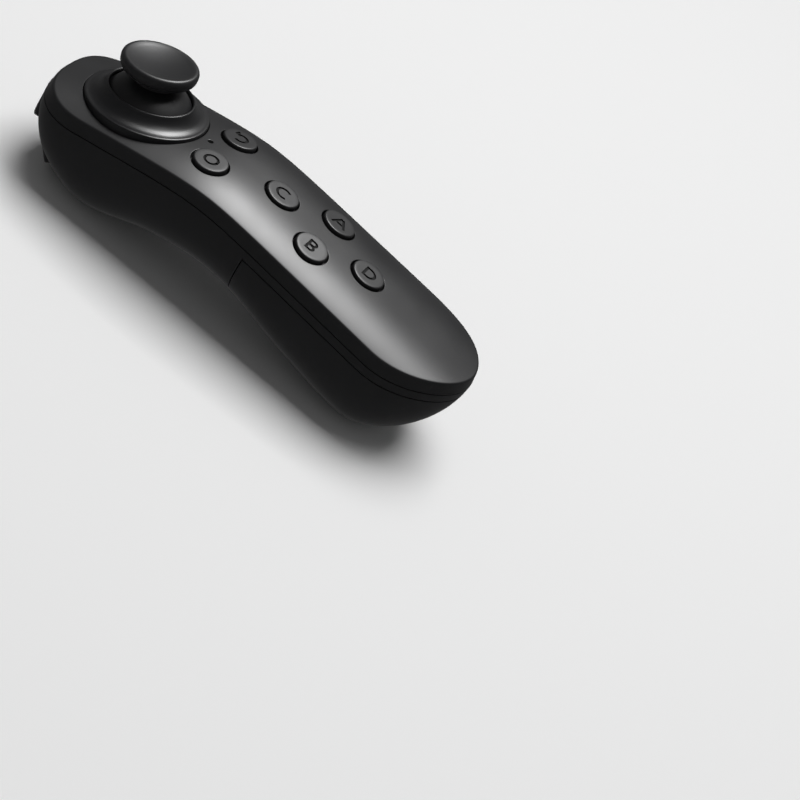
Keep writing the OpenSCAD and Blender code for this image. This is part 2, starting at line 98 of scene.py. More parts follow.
TRIG_ROUND = 1.2
SLOT_CLEAR = 0.35
UPPER_SLOT = (10.3, 18.45)
LOWER_SLOT_TOP = 8.9
LOWER_SLOT_EDGE = (49.1, -0.9)
LOWER_SLOT_LEAN = (8.7, 4.8)
SCREW_HEAD_R = 1.95
BOSS_X = 9.5
BOSS_Y = 7.5
PIN_R = 0.85

# ---- Numbers that only the looks need ----
SHARP_DEG = 32.0
SKIN_REACH = 0.13
HEM = 0.1
HEM_DEEP = 1.75
RIM = 0.14
FLAT = 0.3
MARK_W = 0.54
TRIG_SOFT = 0.1
SLOT_BACK = 41
TIP_X = 1.0
AXIS_R = 0.001


# ---- Surface of the body ----
def soft(u):
    return np.logaddexp(0, u)


def rise(y):
    return TAIL_SLOPE * y + (HEAD_SLOPE - TAIL_SLOPE) * BEND_W * soft((y - BEND_Y) / BEND_W)


def top_z(y):
    return C_Z + rise(y) - rise(C_Y)


def slope(y):
    return TAIL_SLOPE + (HEAD_SLOPE - TAIL_SLOPE) / (1 + np.exp(-(y - BEND_Y) / BEND_W))


def crown_drop(x):
    return CROWN * (np.abs(x) / HALF_W) ** CROWN_POW


def face_z(x, y):
    return top_z(y) - crown_drop(x)


def plan_w(y, off):
    head = np.clip((y - HEAD_END + HEAD_LEN) / (HEAD_LEN + off), 0, 1)
    tail = np.clip((TAIL_END + TAIL_LEN - y) / (TAIL_LEN + off), 0, 1)
    ends = (1 - head**HEAD_POW) ** (1 / HEAD_POW) * (1 - tail**TAIL_POW) ** (1 / TAIL_POW)
    return (HALF_W - TAPER * (y - C_Y) + off) * ends


def seam_z(y):
    return top_z(y) - crown_drop(plan_w(y, BAND_OUT)) - BAND_H


def spline(a, b, c, d, t):
    """Smooth curve from b to c; a and d are the points before and after."""
    curve = 2 * b + (c - a) * t + (2 * a - 5 * b + 4 * c - d) * t**2
    return (curve + (3 * b - a - 3 * c + d) * t**3) / 2


def knot_depth(u):
    last = len(DEPTH_KNOTS) - 1
    s = np.clip(u * last, 0, last - 1e-9)
    k = np.floor(s).astype(int)
    t = s - k
    first = 2 * DEPTH_KNOTS[0] - DEPTH_KNOTS[1]
    beyond = 2 * DEPTH_KNOTS[-1] - DEPTH_KNOTS[-2]
    q = np.concatenate([[first], DEPTH_KNOTS, [beyond]])
    return spline(q[k], q[k + 1], q[k + 2], q[k + 3], t)


def body_depth(y):
    u = (y - TAIL_END + BAND_OUT) / (HEAD_END - TAIL_END + 2 * BAND_OUT)
    raw = knot_depth(u) + CROWN - crown_drop(plan_w(y, BAND_OUT))
    head = np.clip((y - HEAD_END - BAND_OUT + HEAD_RISE) / HEAD_RISE, 0, 1)
    tail = np.clip((TAIL_END - BAND_OUT + TAIL_RISE - y) / TAIL_RISE, 0, 1)
    return raw * np.sqrt((1 - head**2) * (1 - tail**2))


def belly_at_drop(y, drop, side):
    """Point of the lower body at a drop below the seam groove."""
    deep = np.maximum(body_depth(y), 1e-9)
    share = np.clip(drop / deep, 0, 1)
    x = plan_w(y, BAND_OUT) * (1 - share**FLOOR_POW) ** (1 / SIDE_POW)
    z = seam_z(y) - GROOVE - deep * share
    return np.stack([side * x, y + 0 * x, np.maximum(z, 0)], -1)


def belly_at_angle(y, phi):
    """Point of the lower body at section angle phi, from the right seam to the left one."""
    c, s = np.cos(phi), np.sin(phi)
    x = plan_w(y, BAND_OUT) * np.sign(c) * np.abs(c) ** (2 / SIDE_POW)
    z = seam_z(y) - GROOVE - body_depth(y) * np.abs(s) ** (2 / FLOOR_POW)
    return np.stack([x, y + 0 * x, np.maximum(z, 0)], -1)


def belly_z(x, y):
    share = 1 - np.clip(np.abs(x) / plan_w(y, BAND_OUT), 0, 1) ** SIDE_POW
    return np.maximum(seam_z(y) - GROOVE - body_depth(y) * share ** (1 / FLOOR_POW), 0)


def angle_at_drop(y, drop):
    share = np.clip(drop / np.maximum(body_depth(y), 1e-9), 0, 1)
    return np.arcsin(share ** (FLOOR_POW / 2))


def cos_steps(low, high, n):
    """Stations that lie closer together at both ends."""
    return (low + high) / 2 - (high - low) / 2 * np.cos(np.linspace(0, np.pi, n))


def tip_steps(tip, stop, n):
    """Stations from a rounded tip to a straight cut, closer together at the tip."""
    return stop - (stop - tip) * np.cos(np.linspace(0, np.pi / 2, n))


# ---- Mesh helpers ----
def make_object(name, verts_mm, faces, sharp_deg=SHARP_DEG):
    mesh = bpy.data.meshes.new(name)
    mesh.from_pydata((np.asarray(verts_mm, float) * MM).tolist(), [], faces)
    work = bmesh.new()
    work.from_mesh(mesh)
    bmesh.ops.remove_doubles(work, verts=work.verts, dist=2e-6)
    bmesh.ops.dissolve_degenerate(work, edges=work.edges, dist=1e-7)
    bmesh.ops.recalc_face_normals(work, faces=work.faces)
    mark_sharp(work, sharp_deg)
    work.to_mesh(mesh)
    work.free()
    piece = bpy.data.objects.new(name, mesh)
    bpy.context.scene.collection.objects.link(piece)
    return piece


def mark_sharp(work, sharp_deg):
    limit = math.radians(sharp_deg)
    for face in work.faces:
        face.smooth = True
    for edge in work.edges:
        edge.smooth = len(edge.link_faces) != 2 or edge.calc_face_angle(0) < limit


def resharpen(piece, sharp_deg=SHARP_DEG):
    work = bmesh.new()
    work.from_mesh(piece.data)
    mark_sharp(work, sharp_deg)
    work.to_mesh(piece.data)
    work.free()


def grid_faces(rows, cols, start=0, wrap=False, keep=None):
    faces = []
    for i in range(rows - 1):
        for j in range(cols if wrap else cols - 1):
            if keep is not None and not keep(i, j):
                continue
            q = (j + 1) % cols
            a, b = start + i * cols, start + (i + 1) * cols
            faces.append((a + j, a + q, b + q, b + j))
    return faces


class Builder:
    """Collects grids of points into one mesh."""

    def __init__(self):
        self.verts = []
        self.faces = []
        self.count = 0

    def grid(self, points, wrap=False, keep=None):
        points = np.asarray(points, float)
        rows, cols = points.shape[:2]
        self.faces += grid_faces(rows, cols, self.count, wrap, keep)
        self.verts.append(points.reshape(-1, 3))
        self.count += rows * cols

    def object(self, name, sharp_deg=SHARP_DEG):
        return make_object(name, np.concatenate(self.verts), self.faces, sharp_deg)


def apply_modifier(piece, kind, **settings):
    modifier = piece.modifiers.new(kind.lower(), kind)
    for key, value in settings.items():
        setattr(modifier, key, value)
    with bpy.context.temp_override(object=piece, active_object=piece, selected_objects=[piece]):
        bpy.ops.object.modifier_apply(modifier=modifier.name)


def cut(piece, cutter):
    apply_modifier(piece, "BOOLEAN", operation="DIFFERENCE", solver="EXACT", object=cutter)
    bpy.data.objects.remove(cutter)


def add_inside(piece, node, keep=None):
    """Joins the CAD node's inner faces to a finer outer skin that takes the place of its outer faces."""
    skin = bmesh.new()
    skin.from_mesh(piece.data)
    tree = BVHTree.FromBMesh(skin)
    inside = bmesh.new()
    inside.from_mesh(frame["nodes"][node].data)
    reach = SKIN_REACH * MM
    doomed = []
    for face in inside.faces:
        if keep is not None and keep(face.calc_center_median() / MM):
            continue
        if any(tree.find_nearest(v.co, reach)[0] is not None for v in face.verts):
            doomed.append(face)
    bmesh.ops.delete(inside, geom=doomed, context="FACES")
    mark_sharp(inside, SHARP_DEG)
    scratch = bpy.data.meshes.new("inside")
    inside.to_mesh(scratch)
    skin.from_mesh(scratch)
    skin.to_mesh(piece.data)
    bpy.data.meshes.remove(scratch)
    skin.free()
    inside.free()


def tilt(points, angle_x, angle_y=0.0):
    """Points turned about Y and then about X, in radians."""
    p = np.asarray(points, float)
    x = p[..., 0] * math.cos(angle_y) + p[..., 2] * math.sin(angle_y)
    z = -p[..., 0] * math.sin(angle_y) + p[..., 2] * math.cos(angle_y)
    y = p[..., 1] * math.cos(angle_x) - z * math.sin(angle_x)
    z = p[..., 1] * math.sin(angle_x) + z * math.cos(angle_x)
    return np.stack([x, y, z], -1)


def on_face(points, x, y):
    """Points of a local frame that stands on the top face at x, y."""
    lean = math.copysign(1, x) * math.atan(CROWN_POW * crown_drop(x) / max(1, abs(x))) if x else 0.0
    moved = tilt(points, math.atan(slope(y)), lean)
    return moved + np.array([x, y, face_z(x, y)])


def lathe(profile, segments):
    """Points of a profile of radius and height turned about Z."""
    turn = np.linspace(0, 2 * np.pi, segments, endpoint=False)
    r = np.array([p[0] for p in profile])[:, None]
    z = np.array([p[1] for p in profile])[:, None]
    return np.stack([r * np.cos(turn), r * np.sin(turn), z + 0 * turn], -1)


def rounded(profile, steps=6):
    """A smooth curve through the profile's points."""
    p = np.array(profile, float)
    q = np.concatenate([[2 * p[0] - p[1]], p, [2 * p[-1] - p[-2]]])
    out = []
    for k in range(len(p) - 1):
        for t in np.linspace(0, 1, steps, endpoint=False):
            out.append(spline(q[k], q[k + 1], q[k + 2], q[k + 3], t))
    out.append(p[-1])
    return out


# ---- Materials ----
def new_material(name):
    material = bpy.data.materials.new(name)
    material.use_nodes = True
    tree = material.node_tree
    return material, tree, tree.nodes["Principled BSDF"]


def noise(tree, vector, scale, detail):
    node = tree.nodes.new("ShaderNodeTexNoise")
    node.inputs["Scale"].default_value = scale
    node.inputs["Detail"].default_value = detail
    tree.links.new(vector, node.inputs["Vector"])
    return node.outputs["Fac"]


def remap(tree, value, low, high, start=0.0, stop=1.0):
    """The value's range from start to stop, turned into low to high."""
    node = tree.nodes.new("ShaderNodeMapRange")
    node.inputs["From Min"].default_value = start
    node.inputs["From Max"].default_value = stop
    node.inputs["To Min"].default_value = low
    node.inputs["To Max"].default_value = high
    tree.links.new(value, node.inputs["Value"])
    return node.outputs["Result"]


def blend(tree, factor, first, second):
    """Mix of two colours; the first may be another node's output."""
    node = tree.nodes.new("ShaderNodeMix")
    node.data_type = "RGBA"
    tree.links.new(factor, node.inputs["Factor"])
    if isinstance(first, bpy.types.NodeSocket):
        tree.links.new(first, node.inputs["A"])
    else:
        node.inputs["A"].default_value = (*first, 1)
    node.inputs["B"].default_value = (*second, 1)
    return node.outputs["Result"]


def plastic(name, color, rough, grain_mm=0.22, bump=0.12, wear=0.25, coat=0.0, shine=0.5):
    """Moulded plastic or rubber: fine grain, uneven gloss and slightly paler edges."""
    material, tree, shader = new_material(name)
    shader.inputs["Specular IOR Level"].default_value = shine
    shader.inputs["Coat Weight"].default_value = coat
    shader.inputs["Coat Roughness"].default_value = 0.25
    place = tree.nodes.new("ShaderNodeTexCoord").outputs["Object"]
    grain = noise(tree, place, 1.0 / (grain_mm * MM), 3.0)
    cloud = noise(tree, place, 70.0, 4.0)
    gloss = remap(tree, cloud, rough - 0.05, rough + 0.06)
    tree.links.new(gloss, shader.inputs["Roughness"])
    edges = tree.nodes.new("ShaderNodeNewGeometry").outputs["Pointiness"]
    worn = remap(tree, edges, 0.0, wear, start=0.54, stop=0.66)
    tint = blend(tree, cloud, [c * 0.88 for c in color], [c * 1.12 for c in color])
    base = blend(tree, worn, tint, [min(1, c * 1.8 + 0.02) for c in color])
    tree.links.new(base, shader.inputs["Base Color"])
    relief = tree.nodes.new("ShaderNodeBump")
    relief.inputs["Strength"].default_value = bump
    relief.inputs["Distance"].default_value = 0.00004
    tree.links.new(grain, relief.inputs["Height"])
    tree.links.new(relief.outputs["Normal"], shader.inputs["Normal"])
    return material


def metal(name, color, rough, streak=True):
    """Plated or turned metal with fine streaks in its gloss."""
    material, tree, shader = new_material(name)
    shader.inputs["Metallic"].default_value = 1.0
    place = tree.nodes.new("ShaderNodeTexCoord").outputs["Object"]
    squeeze = tree.nodes.new("ShaderNodeMapping")
    squeeze.inputs["Scale"].default_value = (900, 900, 9000) if streak else (2500, 2500, 2500)
    tree.links.new(place, squeeze.inputs["Vector"])
    streaks = noise(tree, squeeze.outputs["Vector"], 1.0, 3.0)
    gloss = remap(tree, streaks, max(0.05, rough - 0.1), rough + 0.12)
    tree.links.new(gloss, shader.inputs["Roughness"])
    tint = blend(tree, streaks, [c * 0.85 for c in color], color)
    tree.links.new(tint, shader.inputs["Base Color"])
    return material


DARK_SHINE = 0.3
MATERIALS = {
    "shell_black": plastic("shell_black", (0.011, 0.011, 0.012), 0.37, shine=DARK_SHINE),
    "bezel_black": plastic("bezel_black", (0.011, 0.011, 0.012), 0.33, shine=DARK_SHINE),
    "thumb_rubber": plastic("thumb_rubber", (0.013, 0.013, 0.014), 0.4, grain_mm=0.3, shine=DARK_SHINE),
    "button_black": plastic("button_black", (0.016, 0.016, 0.017), 0.4, shine=DARK_SHINE),
    "trigger_black": plastic("trigger_black", (0.012, 0.012, 0.013), 0.38, shine=DARK_SHINE),
    "steel": metal("steel", (0.62, 0.62, 0.64), 0.3),
    "board_green": plastic("board_green", (0.02, 0.11, 0.05), 0.3, wear=0.1, coat=0.4),
    "flex_amber": plastic("flex_amber", (0.42, 0.2, 0.04), 0.3, wear=0.1, coat=0.3),
    "nickel": metal("nickel", (0.72, 0.71, 0.68), 0.18, streak=False),
    "shield_tin": metal("shield_tin", (0.66, 0.66, 0.66), 0.35),
    "plunger_ivory": plastic("plunger_ivory", (0.75, 0.72, 0.62), 0.4),
    "cell_sleeve": metal("cell_sleeve", (0.5, 0.38, 0.12), 0.35),
    # The clear light guide is given near-black, almost glossless colour: painted shade in the status-light
    # hole.
    "clear_guide": plastic("clear_guide", (0.001, 0.001, 0.001), 0.85, wear=0.0, shine=0.03),
    "led_white": plastic("led_white", (0.85, 0.86, 0.8), 0.3),
    "pot_green": plastic("pot_green", (0.05, 0.24, 0.17), 0.35),
    "chip_black": plastic("chip_black", (0.03, 0.03, 0.03), 0.5),
}
# Near-black, dull finish for the floors and walls of the button marks: painted shade in the grooves.
MARK_SHADE = plastic("mark_painted_shade", (0.002, 0.002, 0.002), 0.8, bump=0.3, wear=0.0, shine=0.15)


def dress(piece, slot, body, *nodes):
    """Gives a piece its finish, its body and the CAD nodes that it stands for."""
    piece.data.materials.clear()
    piece.data.materials.append(MATERIALS[slot])
    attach(piece, body)
    if nodes:
        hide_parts(*nodes)
    return piece


# ---- Top cover ----
HOLES = [
    (0, C_Y, HOLE_R),
    (0, D_Y, HOLE_R),
    (AB_X, AB_Y, HOLE_R),
    (-AB_X, AB_Y, HOLE_R),
    (PAIR_X, PAIR_Y, HOLE_R),
    (-PAIR_X, PAIR_Y, HOLE_R),
    (0, LED_Y, LED_R),
    (0, STICK_Y, BEZEL_R + 0.15),
]
EDGE_RINGS = [
    (BAND_OUT - 0.38, BAND_H),
    (BAND_OUT - 0.2, BAND_H - 0.04),
    (BAND_OUT - 0.06, BAND_H - 0.1),
    (BAND_OUT, BAND_H - 0.22),
    (BAND_OUT - 0.02, BAND_H - 0.4),
    (0.53, 2.4),
    (0.42, 1.8),
    (0.32, 1.2),
    (0.22, 0.72),
    (0.16, 0.42),
    (0.1, 0.24),
    (-0.01, 0.09),
    (-0.16, 0.02),
    (-0.32, 0.0),
]


def outline_ring(off, drop, side, rows):
    y = cos_steps(TAIL_END - off, HEAD_END + off, rows)
    x = plan_w(y, off)
    return np.stack([side * x, y, face_z(x, y) - drop], -1)


def hole_axes(hole):
    """Centre and the unit vectors along the width and the length of a hole's plane."""
    x, y, _ = hole
    base = on_face(np.array([[0, 0, 0], [1, 0, 0], [0, 1, 0], [0, 0, 1]]), x, y)
    return base[0], base[1] - base[0], base[2] - base[0], base[3] - base[0]


def hole_ring(hole, radius, segments):
    """Ring around a hole's axis that lies on the top face."""
    centre, across, along, normal = hole_axes(hole)
    turn = np.linspace(0, 2 * np.pi, segments, endpoint=False)
    p = centre + radius * (np.cos(turn)[:, None] * across + np.sin(turn)[:, None] * along)
    for _ in range(6):
        miss = face_z(p[:, 0], p[:, 1]) - p[:, 2]
        p = p + miss[:, None] * normal / normal[2]
    return p, normal


def cover_points(rows, columns):
    """Grid over the cover: right band, face, left band."""
    right = [outline_ring(off, drop, 1, rows) for off, drop in EDGE_RINGS]
    left = [outline_ring(off, drop, -1, rows) for off, drop in reversed(EDGE_RINGS)]
    y = right[-1][:, 1]
    w = plan_w(y, EDGE_RINGS[-1][0])
    face = []
    for f in np.linspace(1, -1, columns)[1:-1]:
        face.append(np.stack([f * w, y, face_z(f * w, y)], -1))
    return np.stack(right + face + left, 1)


def hole_owners(flat):
    """For each point the number of the hole whose rim holds it, or -1."""
    owner = np.full(len(flat), -1)
    for k, hole in enumerate(HOLES):
        centre, across, along, _ = hole_axes(hole)
        local = flat - centre
        distance = np.hypot(local @ across, local @ along)
        near = (distance < hole[2] + RIM + FLAT) & (np.abs(local[:, 2]) < 6)
        owner[near] = k
    return owner


def onto_rim(point, hole):
    """The point moved out to the circle around the hole's rim, on the top face."""
    centre, across, along, normal = hole_axes(hole)
    local = point - centre
    a, b = local @ across, local @ along
    reach = (hole[2] + RIM + FLAT) / max(1e-9, math.hypot(a, b))
    p = centre + reach * (a * across + b * along)
    for _ in range(6):
        p = p + (face_z(p[0], p[1]) - p[2]) * normal / normal[2]
    return p


COLLAR_RIM = [(RIM + FLAT, 0), (RIM + 0.1, 0), (RIM, 0), (0.09, 0.01), (0.04, 0.04), (0.01, 0.09)]
COLLAR_WALL = [(0, 0.16), (0, 0.6), (0, 1.2), (0, 2.0)]


def collar(hole):
    """Rounded rim and wall of a hole."""
    segments = 144 if hole[2] > 6 else 96
    rings = []
    for extra, drop in COLLAR_RIM + COLLAR_WALL:
        ring, normal = hole_ring(hole, hole[2] + extra, segments)
        rings.append(ring - drop * normal)
    return np.stack(rings, 0)


def top_cover():
    points = cover_points(380, 97)
    flat = points.reshape(-1, 3)
    owner = hole_owners(flat)
    faces = []
    used = set()
    for quad in grid_faces(points.shape[0], points.shape[1]):
        if all(owner[v] >= 0 for v in quad):
            continue
        faces.append(quad)
        used.update(v for v in quad if owner[v] >= 0)
    for v in used:
        flat[v] = onto_rim(flat[v], HOLES[owner[v]])
    build = Builder()
    build.verts.append(flat)
    build.faces = faces
    build.count = len(flat)
    for hole in HOLES:
        build.grid(collar(hole), wrap=True)
    return build.object("top_cover_shell")


cover = top_cover()
add_inside(cover, "top_cover")
dress(cover, "shell_black", "handset", "top_cover")


# ---- Lower body ----
HEM_STEPS = [(0.04, 0.012), (0.075, 0.04), (0.095, 0.085), (HEM, 0.16), (HEM, HEM_DEEP)]
LIP_STEPS = [(-0.38, 0), (-0.2, 0.05), (-0.07, 0.11)]
LIP_ANGLES = np.array([0, 0.012, 0.03])
STRIP_LINE = DOOR_LINE - DOOR_GAP - HEM


def unit(v):
    return v / np.maximum(np.linalg.norm(v, axis=-1, keepdims=True), 1e-12)


def hem(edge, inward, normal):
    """Rows that roll an edge over into a gap and then down into the wall."""
    rows = [edge] + [edge + a * inward - b * normal for a, b in HEM_STEPS]
    return np.stack(rows, 0)


def edge_normal(edge, inward, outward):
    """Surface normal along an edge, on the side that outward points to."""
    normal = unit(np.cross(unit(np.gradient(edge, axis=0)), inward))
    return normal * np.sign(np.sum(normal * outward, -1, keepdims=True))


def side_normal(edge, inward):
    """Surface normal along an edge beside the body, straight back at the tail's tip."""
    normal = edge_normal(edge, inward, edge * [1, 0, 0] + [0, 0, -1e-3])
    normal[np.abs(edge[:, 0]) < TIP_X] = [0, -1.0, 0]
    return normal


def tip_y(drop):
    """Where the keel of the tail lies a drop below the seam groove."""
    y = np.linspace(TAIL_END - BAND_OUT, TAIL_END + 6, 20000)
    return y[np.argmax(body_depth(y) >= drop)]


def seam_lip(side, y):
    """Rows from the seam's contact ring over the groove's lower lip, for stations y."""
    rows = []
    for off, drop in LIP_STEPS:
        w = plan_w(y, BAND_OUT) + off * np.clip(plan_w(y, BAND_OUT) / 3, 0, 1)
        rows.append(np.stack([side * w, y, seam_z(y) - drop], -1))
    return rows


def housing_front(build, low):
    """The skin ahead of the door, with a hem where it faces the door."""
    y = low + (HEAD_END + BAND_OUT - low) * np.sin(np.linspace(0, np.pi / 2, 240))
    between = np.linspace(0, np.pi, 181)[2:-2]
    angles = np.concatenate([LIP_ANGLES, between, np.pi - LIP_ANGLES[::-1]])
    middle = [belly_at_angle(y, a) for a in angles]
    build.grid(np.stack(seam_lip(1, y) + middle + seam_lip(-1, y)[::-1], 1))
    section = np.stack(middle, 1)
    edge = section[0]
    inward = unit(edge - section[3])
    build.grid(hem(edge, inward, edge_normal(edge, inward, edge - edge.mean(0))))


def housing_strip(build, low, side):
    """The strip between the seam and the door along one side of the tail."""
    rings = []
    for drop in np.concatenate([[0, 0.05, 0.15, 0.3], np.linspace(0.5, STRIP_LINE, 9)]):
        tip = tip_y(drop) if drop > 0 else TAIL_END - BAND_OUT
        ring = belly_at_drop(tip_steps(tip, low, 220), drop, side)
        ring[0, 0] = 0
        rings.append(ring)
    lips = seam_lip(side, tip_steps(TAIL_END - BAND_OUT, low, 220))
    build.grid(np.stack(lips + rings, 0))
    down = unit(rings[-1] - rings[-2])
    build.grid(hem(rings[-1], down, side_normal(rings[-1], down)))


def housing_skin():
    build = Builder()
    low = DOOR_FRONT + DOOR_GAP + HEM
    housing_front(build, low)
    for side in (1, -1):
        housing_strip(build, low, side)
    return build.object("housing_shell")


def slot_opening(piece):
    """Opens the two trigger slots in the nose."""
    work = bmesh.new()
    work.from_mesh(piece.data)
    side = TRIG_HW + SLOT_CLEAR
    corner = Vector((0, *LOWER_SLOT_EDGE))
    lean = Vector((0, *LOWER_SLOT_LEAN)).normalized()
    across, up = Vector((1, 0, 0)), Vector((0, 0, 1))
    planes = [(side * across, across), (-side * across, across)]
    planes += [(level * up, up) for level in (*UPPER_SLOT, LOWER_SLOT_TOP)]
    planes.append((corner, lean))
    for place, normal in planes:
        near = [f for f in work.faces if f.calc_center_median().y > SLOT_BACK * MM]
        edges = {e for f in near for e in f.edges}
        verts = {v for f in near for v in f.verts}
        geom = near + list(edges) + list(verts)
        bmesh.ops.bisect_plane(work, geom=geom, dist=1e-7, plane_co=place * MM, plane_no=normal)
    doomed = []
    for face in work.faces:
        c = face.calc_center_median() / MM
        upper = UPPER_SLOT[0] < c.z < UPPER_SLOT[1] and c.y > 50
        lower = c.z < LOWER_SLOT_TOP and (c - corner).dot(lean) > 0
        if abs(c.x) < side and (upper or lower):
            doomed.append(face)
    bmesh.ops.delete(work, geom=doomed, context="FACES")
    mark_sharp(work, SHARP_DEG)
    work.to_mesh(piece.data)
    work.free()


SCREW_FLAT = 0.35
SCREW_RIM = [(SCREW_FLAT, 0), (0.15, 0), (0.08, 0.01), (0.02, 0.05), (0, 0.14), (0, 0.8), (0, 2.2)]


def screw_rim(cx, cy):
    """Rounded rim and wall of one screw opening."""
    turn = np.linspace(0, 2 * np.pi, 64, endpoint=False)
    rings = []
    for extra, lift in SCREW_RIM:
        x = cx + (SCREW_HEAD_R + extra) * np.cos(turn)
        y = cy + (SCREW_HEAD_R + extra) * np.sin(turn)
        rings.append(np.stack([x, y, belly_z(x, y) + lift], -1))
    rim = Builder()
    rim.grid(np.stack(rings, 0), wrap=True)
    return rim.object("rim")


def open_round(work, cx, cy, reach):
    """Deletes the faces inside a circle under the belly and rounds off what is left."""
    inside = set()
    for v in work.verts:
        x, y, z = v.co / MM
        if math.hypot(x - cx, y - cy) < reach and z < 12:
            inside.add(v)
    doomed = [f for f in work.faces if all(v in inside for v in f.verts)]
    bmesh.ops.delete(work, geom=doomed, context="FACES")
    for v in inside:
        if v.is_valid and v.link_faces:
            x, y = v.co.x / MM - cx, v.co.y / MM - cy
            k = reach / max(1e-9, math.hypot(x, y))
            x, y = cx + k * x, cy + k * y
            v.co = Vector((x, y, float(belly_z(x, np.array(y))))) * MM


def screw_openings(piece):
    """Round openings under the belly for the two screws."""
    work = bmesh.new()
    work.from_mesh(piece.data)
    for side in (1, -1):
        open_round(work, side * BOSS_X, BOSS_Y, SCREW_HEAD_R + SCREW_FLAT)
        patch = screw_rim(side * BOSS_X, BOSS_Y)
        work.from_mesh(patch.data)
        bpy.data.objects.remove(patch)
    mark_sharp(work, SHARP_DEG)
    work.to_mesh(piece.data)
    work.free()


def is_slot_wall(c):
    """True for a CAD face around the triggers, which the skin doesn't replace."""
    return c.y > 43 and abs(c.x) < TRIG_HW + 0.5 and c.z < 19


housing = housing_skin()
slot_opening(housing)
screw_openings(housing)
add_inside(housing, "bottom_housing", keep=is_slot_wall)
dress(housing, "shell_black", "handset", "bottom_housing")


def door_skin():
    build = Builder()
    line = DOOR_LINE + DOOR_GAP + HEM
    y = tip_steps(tip_y(line), DOOR_FRONT - DOOR_GAP - HEM, 240)
    first = angle_at_drop(y, line)
    first[0] = np.pi / 2
    columns = [belly_at_angle(y, first + (np.pi - 2 * first) * s) for s in np.linspace(0, 1, 181)]
    skin = np.stack(columns, 1)
    build.grid(skin)
    for column, beside in ((0, 1), (-1, -2)):
        edge = skin[:, column]
        inward = unit(edge - skin[:, beside])
        inward[0] = [0, 0, 1]
        normal = side_normal(edge, inward)
        inward[np.abs(edge[:, 0]) < TIP_X] = [0, 0, 1]
        build.grid(hem(edge, inward, normal))
    edge = skin[-1]
    inward = unit(edge - skin[-4])
    build.grid(hem(edge, inward, edge_normal(edge, inward, edge - edge.mean(0))))
    return build.object("battery_door_shell")


door = door_skin()
add_inside(door, "battery_door")
dress(door, "shell_black", "battery_door", "battery_door")


# ---- Bezel and thumbstick ----
def round_piece(name, profile):
    """Profile turned about the thumbstick's axis, with heights from the top face."""
    build = Builder()
    build.grid(on_face(lathe(profile, 192), 0, STICK_Y), wrap=True)
    return build.object(name)


def arc(radius, start, stop, steps):
    """Profile points on a sphere around the stick's pivot, angles from its axis."""
    angles = np.radians(np.linspace(start, stop, steps))
    return [(radius * math.sin(a), radius * math.cos(a) - PIVOT_D) for a in angles]


BEZEL_TOP = rounded(
    [(9.93, 3.45), (9.99, 3.7), (10.2, 3.83), (10.46, 3.74), (10.66, 3.38), (10.86, 2.9), (11.2, 2.33),
     (11.7, 1.76), (12.4, 1.2), (13.2, 0.82), (13.8, 0.66), (14.3, 0.62), (14.6, 0.56), (14.75, 0.42),
     (BEZEL_R, 0.2)],
    5,
)
BEZEL_FOOT = [(BEZEL_R, -1.0), (BEZEL_R, -3.4), (12.9, -3.4)]
BEZEL = [*BEZEL_TOP, *BEZEL_FOOT, *arc(DOME_R + 0.35, 83, 51.9, 14), BEZEL_TOP[0]]
dress(round_piece("bezel_ring", BEZEL), "bezel_black", "handset", "joystick_bezel")

CAP_TOP = rounded(
    [(0.0, 10.9), (1.5, 10.93), (3.2, 11.06), (5.0, 11.3), (6.6, 11.62), (7.6, 11.9), (8.2, 12.02),
     (8.65, 11.93), (8.98, 11.6), (9.15, 11.05), (9.14, 10.3), (8.95, 9.6), (8.5, 8.98), (7.7, 8.52),
     (6.6, 8.25), (5.55, 8.05), (4.9, 7.75), (4.78, 7.3)],
    6,
)
CAP = [(AXIS_R, 10.9), *CAP_TOP[1:], *arc(DOME_R, 25, 73, 28), *arc(DOME_R - 0.9, 73, 20, 14)]
dress(round_piece("thumb_cap", CAP), "thumb_rubber", "thumbstick", "thumbstick_cap")


# ---- Button caps with their marks ----
def prism(outline, low, high):
    """Closed prism over a 2D outline."""
    n = len(outline)
    verts = [(x, y, low) for x, y in outline] + [(x, y, high) for x, y in outline]
    faces = [tuple(reversed(range(n))), tuple(range(n, 2 * n))]
    faces += [(k, (k + 1) % n, n + (k + 1) % n, n + k) for k in range(n)]
    return np.array(verts, float), faces


def bar(x, y, length, angle):
    """Outline of a straight stroke around x, y."""
    a = math.radians(angle)
    half, thick = length / 2, MARK_W / 2
    c, q = math.cos(a), math.sin(a)
    corners = [(-half, -thick), (half, -thick), (half, thick), (-half, thick)]
    return [(x + u * c - v * q, y + u * q + v * c) for u, v in corners]


def sector(radius, start, stop, x=0.0, y=0.0):
    """Outline of an arc-shaped stroke."""
    steps = max(6, int(abs(stop - start) / 7))
    angles = [math.radians(start + (stop - start) * k / steps) for k in range(steps + 1)]
    inside = radius - MARK_W
    outer = [(x + radius * math.cos(a), y + radius * math.sin(a)) for a in angles]
    inner = [(x + inside * math.cos(a), y + inside * math.sin(a)) for a in reversed(angles)]
    return outer + inner


def loop_strokes(y, radius):
    """Strokes of one bowl of a letter."""
    strokes = [sector(radius, -90, 90, -0.1, y)]
    for side in (1, -1):
        strokes.append(bar(-0.55, y + side * (radius - MARK_W / 2), 1.0, 0))
    return strokes


